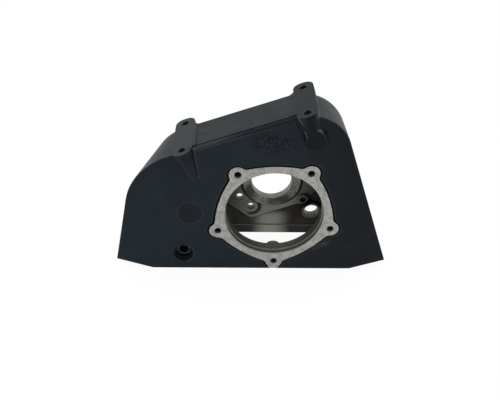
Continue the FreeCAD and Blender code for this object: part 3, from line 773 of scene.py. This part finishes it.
def thread_turns(name, mouth, inwards, hole_r, pitch, depth, material):
    """A V-shaped ridge that winds down the wall of a tapped hole."""
    inwards = Vector(inwards).normalized()
    side = inwards.orthogonal().normalized()
    other = inwards.cross(side)
    ridge = THREAD_RIDGE * pitch
    half = THREAD_HALF * pitch
    foot_r = hole_r - THREAD_CLEAR
    turns = int(depth / pitch) - 1
    count = turns * THREAD_STEPS
    vertices = []
    for i in range(count + 1):
        angle = 2 * math.pi * i / THREAD_STEPS
        out = side * math.cos(angle) + other * math.sin(angle)
        sink = pitch * (0.5 + i / THREAD_STEPS)
        grow = min(1.0, i / THREAD_LEAD, (count - i) / THREAD_LEAD)
        centre = Vector(mouth) + inwards * sink
        vertices.append(centre + out * foot_r - inwards * half)
        vertices.append(centre + out * (foot_r - ridge * grow))
        vertices.append(centre + out * foot_r + inwards * half)
    faces = []
    for i in range(count):
        here, there = 3 * i, 3 * i + 3
        faces.append((here, here + 1, there + 1, there))
        faces.append((here + 1, here + 2, there + 2, there + 1))
        faces.append((here + 2, here, there, there + 2))
    last = 3 * count
    faces.append((0, 2, 1))
    faces.append((last, last + 1, last + 2))
    mesh = bpy.data.meshes.new(name)
    mesh.from_pydata(vertices, [], faces)
    mesh.materials.append(material)
    made = bpy.data.objects.new(name, mesh)
    bpy.context.scene.collection.objects.link(made)
    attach(made, "root")


def build_thread_metal():
    s = Shader("thread_metal")
    # Painted shade: the thread darkens deeper in the hole.
    color = s.mix(s.ramp(s.y, 0.5 * MM, 4 * MM), TAPPED, TAPPED_SHADE)
    return s.finish(Base_Color=color, Roughness=0.5, Specular_IOR_Level=PAINT_GLOSS)


def build_painted_thread():
    s = Shader("painted_thread")
    return s.finish(Base_Color=PAINT_DARK, Roughness=0.6, Specular_IOR_Level=PAINT_GLOSS)


def build_threads():
    metal = build_thread_metal()
    painted = build_painted_thread()
    for i in range(RING_BOLTS):
        angle = 1.5 * math.pi + RING_TURN + i * 2 * math.pi / RING_BOLTS
        mouth = (RING_BOLT_R * math.cos(angle), 0, RING_BOLT_R * math.sin(angle))
        thread_turns(f"ring_thread_{i + 1}", mouth, (0, 1, 0), RING_HOLE_R, RING_PITCH,
                     RING_HOLE_DEPTH * THREAD_SHARE, metal)
    for row, y in enumerate(PAD_HOLES_Y):
        for column, along in enumerate(PAD_HOLES_ALONG):
            mouth = Vector(ALONG_PAD) * along + Vector(OUT_OF_PAD) * PAD_HEIGHT
            mouth.y = y
            thread_turns(f"pad_thread_{2 * row + column + 1}", mouth, -Vector(OUT_OF_PAD),
                         PAD_HOLE_R, PAD_PITCH, PAD_HOLE_DEPTH * THREAD_SHARE, painted)
    port = (PORT_PLACE[0], PORT_WALL_Y + PORT_RIM_DEPTH, PORT_PLACE[1])
    thread_turns("port_thread", port, (0, 1, 0), PORT_THREAD_R, PORT_PITCH,
                 PORT_THREAD_DEPTH - 1.0 * MM, painted)


# Camera, floor and light

def make_camera():
    azimuth = math.radians(CAMERA_AZIMUTH)
    elevation = math.radians(CAMERA_ELEVATION)
    roll = math.radians(CAMERA_ROLL)
    ahead = Vector((math.sin(azimuth) * math.cos(elevation),
                    math.cos(azimuth) * math.cos(elevation), -math.sin(elevation)))
    right = Vector((math.cos(azimuth), -math.sin(azimuth), 0))
    up = right.cross(ahead)
    turned_right = right * math.cos(roll) + up * math.sin(roll)
    turned_up = up * math.cos(roll) - right * math.sin(roll)
    rotation = Matrix((turned_right, turned_up, -ahead)).transposed()
    data = bpy.data.cameras.new("photo_camera")
    data.lens = CAMERA_LENS
    data.sensor_width = CAMERA_SENSOR
    camera = bpy.data.objects.new("photo_camera", data)
    camera.matrix_world = Matrix.Translation(CAMERA_PLACE) @ rotation.to_4x4()
    bpy.context.scene.collection.objects.link(camera)
    bpy.context.scene.camera = camera


def seen_directly(tree):
    """1 for rays from the camera, in mirrors and through glass, otherwise 0."""
    path = tree.nodes.new("ShaderNodeLightPath")
    total = path.outputs["Is Camera Ray"]
    for name in ("Is Glossy Ray", "Is Transmission Ray"):
        joined = tree.nodes.new("ShaderNodeMath")
        joined.operation = "MAXIMUM"
        tree.links.new(total, joined.inputs[0])
        tree.links.new(path.outputs[name], joined.inputs[1])
        total = joined.outputs[0]
    return total


FLOOR_SIZE = 6.0
FLOOR_GLOW = 0.95            # share of plain white that the camera sees on the floor
AMBIENT = 0.256
LIGHTS = [                   # name, place, width and height, watts
    ("top_light", (0.0, 0.25, 1.3), (1.6, 1.2), 22),
    ("left_light", (-1.2, 0.35, 0.35), (0.9, 1.2), 16),
    ("right_light", (1.2, 0.35, 0.35), (0.9, 1.2), 16)]


def make_floor():
    mesh = bpy.data.meshes.new("floor")
    half = FLOOR_SIZE / 2
    low = CAD_LOW.z
    corners = [(-half, -half, low), (half, -half, low), (half, half, low), (-half, half, low)]
    mesh.from_pydata(corners, [], [(0, 1, 2, 3)])
    floor = bpy.data.objects.new("floor", mesh)
    bpy.context.scene.collection.objects.link(floor)
    s = Shader("floor")
    matt = s.node("ShaderNodeBsdfDiffuse")
    s.put(matt.inputs["Color"], FLOOR_WHITE)
    glow = s.node("ShaderNodeEmission")
    mixed = s.node("ShaderNodeMixShader")
    share = s.times(seen_directly(s.tree), FLOOR_GLOW)
    s.put(mixed.inputs[0], share)
    s.tree.links.new(matt.outputs[0], mixed.inputs[1])
    s.tree.links.new(glow.outputs[0], mixed.inputs[2])
    output = s.node("ShaderNodeOutputMaterial")
    s.tree.links.new(mixed.outputs[0], output.inputs[0])
    mesh.materials.append(s.material)


def make_world():
    world = bpy.data.worlds.new("studio")
    world.use_nodes = True
    tree = world.node_tree
    tree.nodes.clear()
    ambient = tree.nodes.new("ShaderNodeBackground")
    ambient.inputs["Color"].default_value = (1, 1, 1, 1)
    ambient.inputs["Strength"].default_value = AMBIENT
    white = tree.nodes.new("ShaderNodeBackground")
    white.inputs["Color"].default_value = (1, 1, 1, 1)
    white.inputs["Strength"].default_value = 1.0
    mixed = tree.nodes.new("ShaderNodeMixShader")
    tree.links.new(seen_directly(tree), mixed.inputs[0])
    tree.links.new(ambient.outputs[0], mixed.inputs[1])
    tree.links.new(white.outputs[0], mixed.inputs[2])
    output = tree.nodes.new("ShaderNodeOutputWorld")
    tree.links.new(mixed.outputs[0], output.inputs[0])
    bpy.context.scene.world = world


def softbox(name, place, size, power):
    """A rectangular lamp that points at the cover."""
    data = bpy.data.lights.new(name, "AREA")
    data.shape = "RECTANGLE"
    data.size, data.size_y = size
    data.energy = power
    lamp = bpy.data.objects.new(name, data)
    lamp.location = place
    lamp.rotation_euler = (-Vector(place)).to_track_quat("-Z", "Y").to_euler()
    bpy.context.scene.collection.objects.link(lamp)


def make_lights():
    for name, place, size, power in LIGHTS:
        softbox(name, place, size, power)


COVER.data.materials.clear()
COVER.data.materials.append(build_casting_material())
build_threads()
make_camera()
make_floor()
make_world()
make_lights()

bpy.context.scene.view_settings.view_transform = "Standard"
